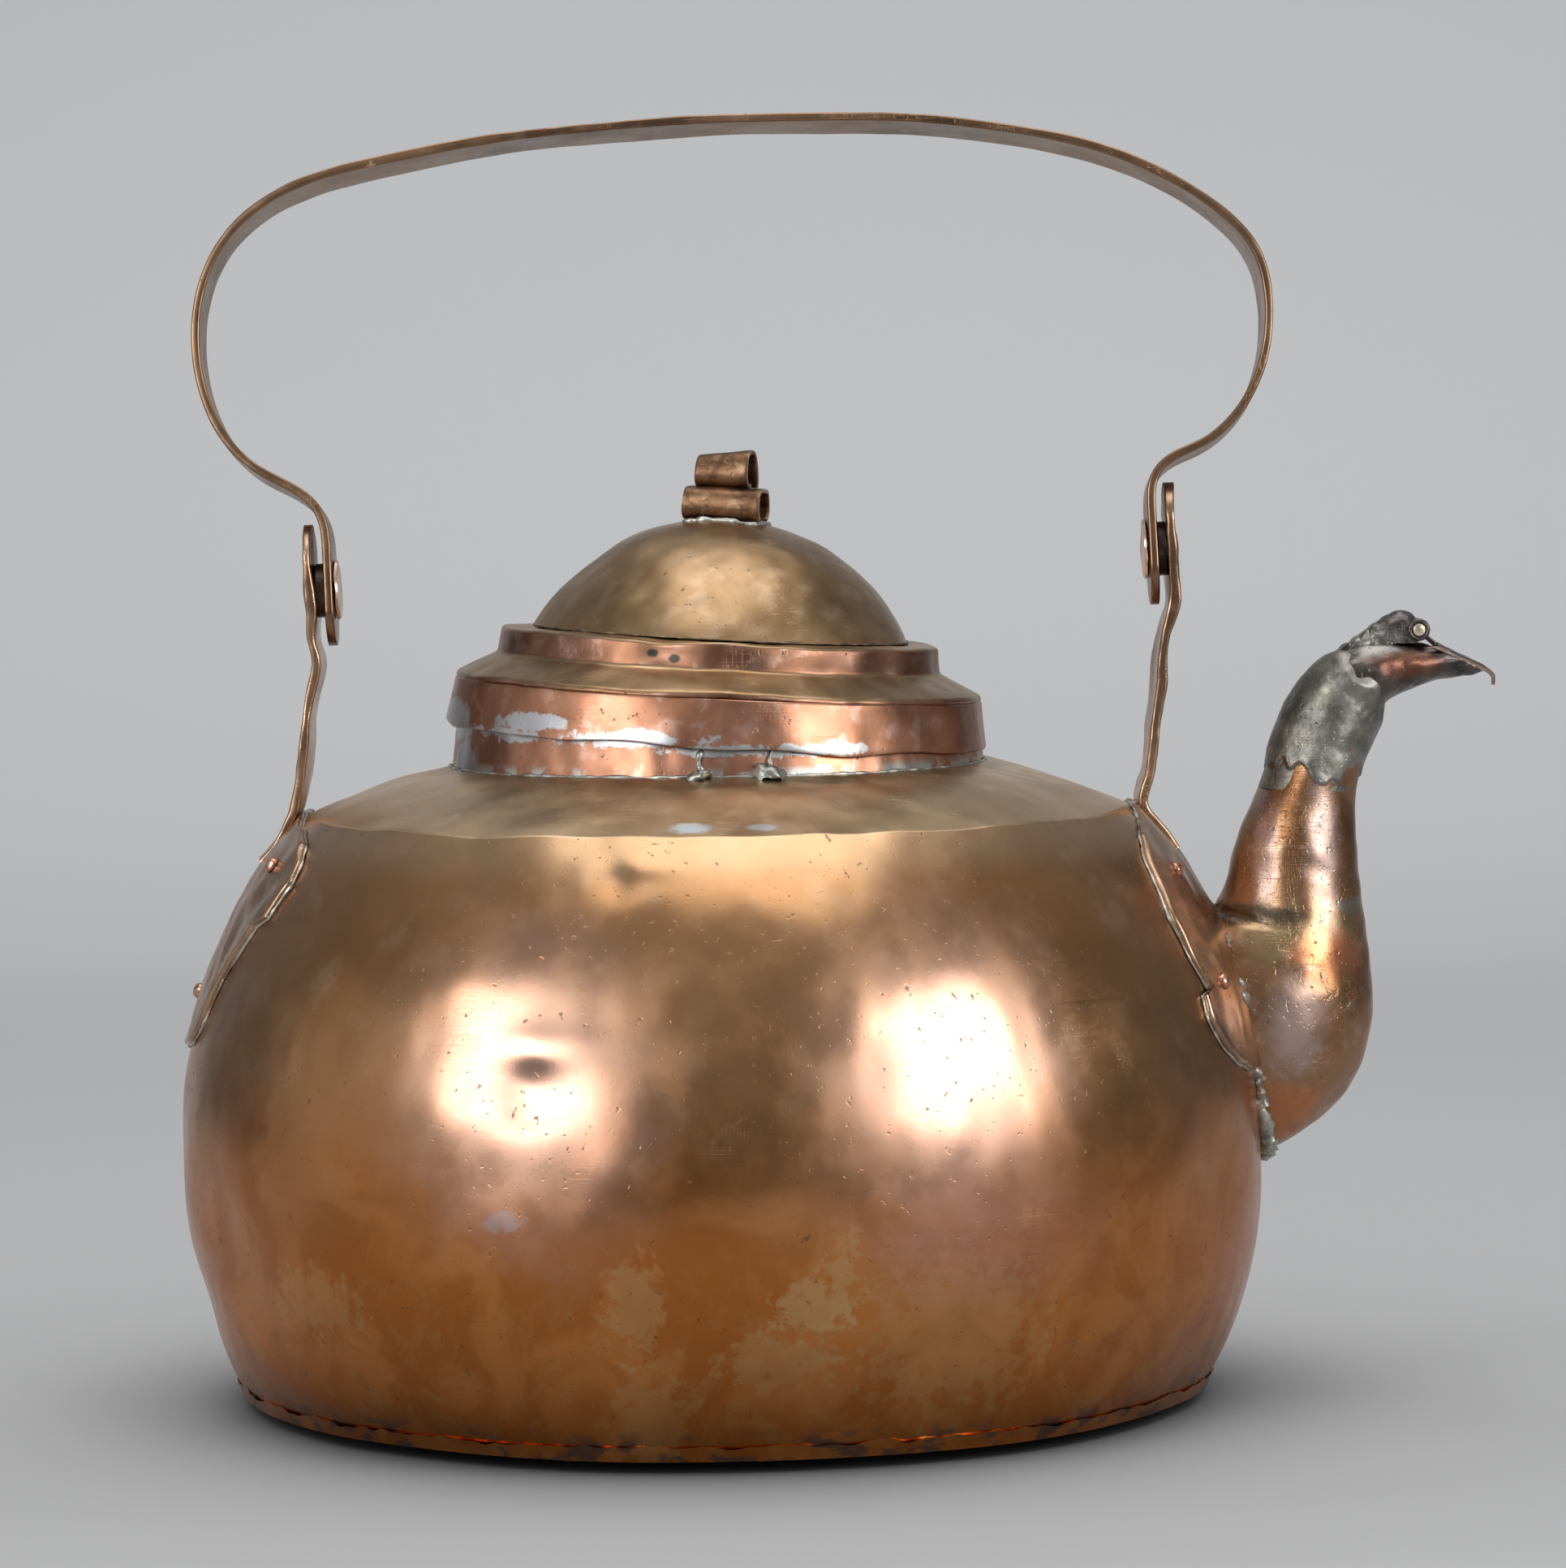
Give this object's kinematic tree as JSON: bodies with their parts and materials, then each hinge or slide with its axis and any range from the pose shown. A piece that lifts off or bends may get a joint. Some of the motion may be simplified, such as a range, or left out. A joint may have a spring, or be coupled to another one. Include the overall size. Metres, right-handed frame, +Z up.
{
  "type": "kettle",
  "caption": "Large hand-made copper kettle with a swinging strip bail, a stepped lift-off lid and a bird-head spout closed by a hinged beak flap",
  "frame": {"origin": "Centre of the bottom, on the surface that the kettle stands on", "axes": "+Z up, +X towards the spout, +Y to the far side of the kettle seen with the spout on the right"},
  "size_m": [0.3677, 0.3016, 0.3566],
  "materials": {
    "copper_body": "hammered old copper, worn polish over brown patina",
    "copper_shoulder": "olive-brown patinated copper",
    "copper_band": "redder, brighter copper band with tin smears",
    "copper_bottom": "dark, heat-stained copper",
    "copper_strap": "forged copper with dark edges",
    "copper_rivet": "domed copper rivets, bright crowns",
    "copper_pivot": "large low copper rivet heads",
    "copper_washer": "dark copper spacer",
    "copper_bail": "flat hammered copper strip, worn by the hand",
    "copper_spout": "filed and planished copper",
    "solder": "rough tin solder, partly oxidised",
    "tin": "grey tin coat, scraped",
    "bronze_head": "dark bronze with grey and red patches",
    "brass_pin": "pale brass, bright ends",
    "bronze_flap": "dark bronze",
    "copper_lid": "olive-brown planished copper",
    "copper_knob": "rolled copper strip"
  },
  "bodies": {
    "kettle": {"body_wall": "copper_body", "shoulder": "copper_shoulder", "neck_collar": "copper_band", "bottom_plate": "copper_bottom", "left_strap": "copper_strap", "right_strap": "copper_strap", "left_strap_rivets": "copper_rivet", "right_strap_rivets": "copper_rivet", "left_pivot_rivet": "copper_pivot", "right_pivot_rivet": "copper_pivot", "left_washer": "copper_washer", "right_washer": "copper_washer", "spout_tube": "copper_spout", "spout_base_solder": "solder", "spout_tin_sleeve": "tin", "spout_head": "bronze_head", "crest_ridge": "bronze_head", "hinge_pin": "brass_pin"},
    "bail": {"bail_handle": "copper_bail"},
    "flap": {"beak_flap": "bronze_flap"},
    "lid": {"lid_skirt": "copper_band", "lid_cover": "copper_lid", "lid_dome": "copper_lid", "lid_knob": "copper_knob"}
  },
  "joints": [
    {"name": "bail_swing", "type": "hinge", "parent": "kettle", "child": "bail", "pos_m": [0.0073, 0, 0.2298], "axis": [0.9993, 0, 0.0366], "range_deg": [-102, 118]},
    {"name": "lid_lift", "type": "slide", "parent": "kettle", "child": "lid", "axis": [0, 0, 1], "range_m": [0, 0.06]},
    {"name": "beak_hinge", "type": "hinge", "parent": "kettle", "child": "flap", "pos_m": [0.195, 0, 0.2107], "axis": [0, -1, 0], "range_deg": [0, 95]}
  ]
}
